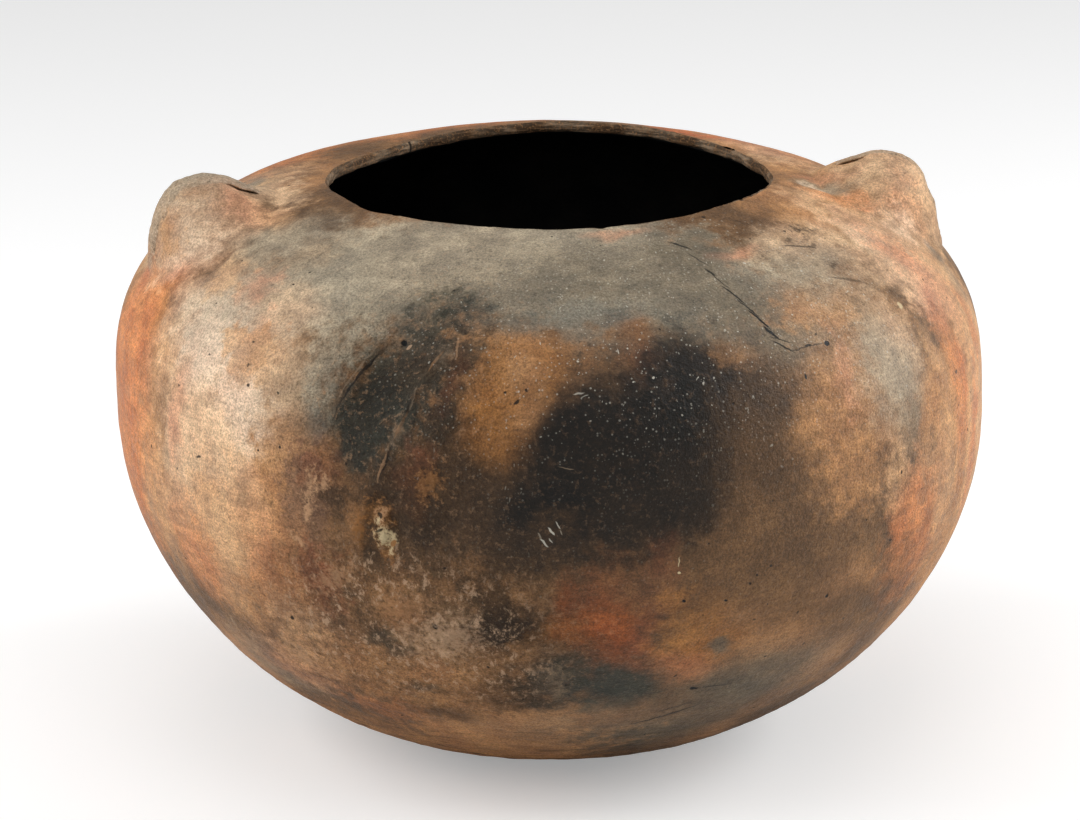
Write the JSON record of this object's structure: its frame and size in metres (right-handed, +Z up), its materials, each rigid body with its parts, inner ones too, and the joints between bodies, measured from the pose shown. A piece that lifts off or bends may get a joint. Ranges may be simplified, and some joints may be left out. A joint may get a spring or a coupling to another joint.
{
  "type": "earthenware jar",
  "caption": "Hand-built round earthenware storage jar with a wide neckless mouth, a worn resting flat and strapped lugs standing on its shoulder.",
  "frame": {"origin": "centre of the jar's axis on the plane that it stands on", "axes": "+Z up along the jar's axis, through the middle of the mouth; +X through the middle of the right lug, so both lugs lie on the X axis; -Y is the side seen in the picture"},
  "size_m": [0.3742, 0.374, 0.2502],
  "materials": {
    "scraped_clay": "scraped, abraded red-brown low-fired clay",
    "burnished_clay": "burnished clay with dark fire clouds, orange patches and pale temper specks",
    "bare_lip_clay": "bare cut clay edge, rough and worn",
    "tan_clay": "smoothed tan clay",
    "rough_clay": "rough unburnished grey clay"
  },
  "bodies": {
    "root": {"base_bowl": "scraped_clay", "foot_ring": "burnished_clay", "lower_belly_ring": "burnished_clay", "upper_belly_ring": "burnished_clay", "shoulder_ring": "burnished_clay", "mouth_ring": "burnished_clay", "lip_coil": "bare_lip_clay", "left_lug": "tan_clay", "right_lug": "tan_clay", "left_lug_strap": "rough_clay", "right_lug_strap": "rough_clay"}
  },
  "joints": []
}
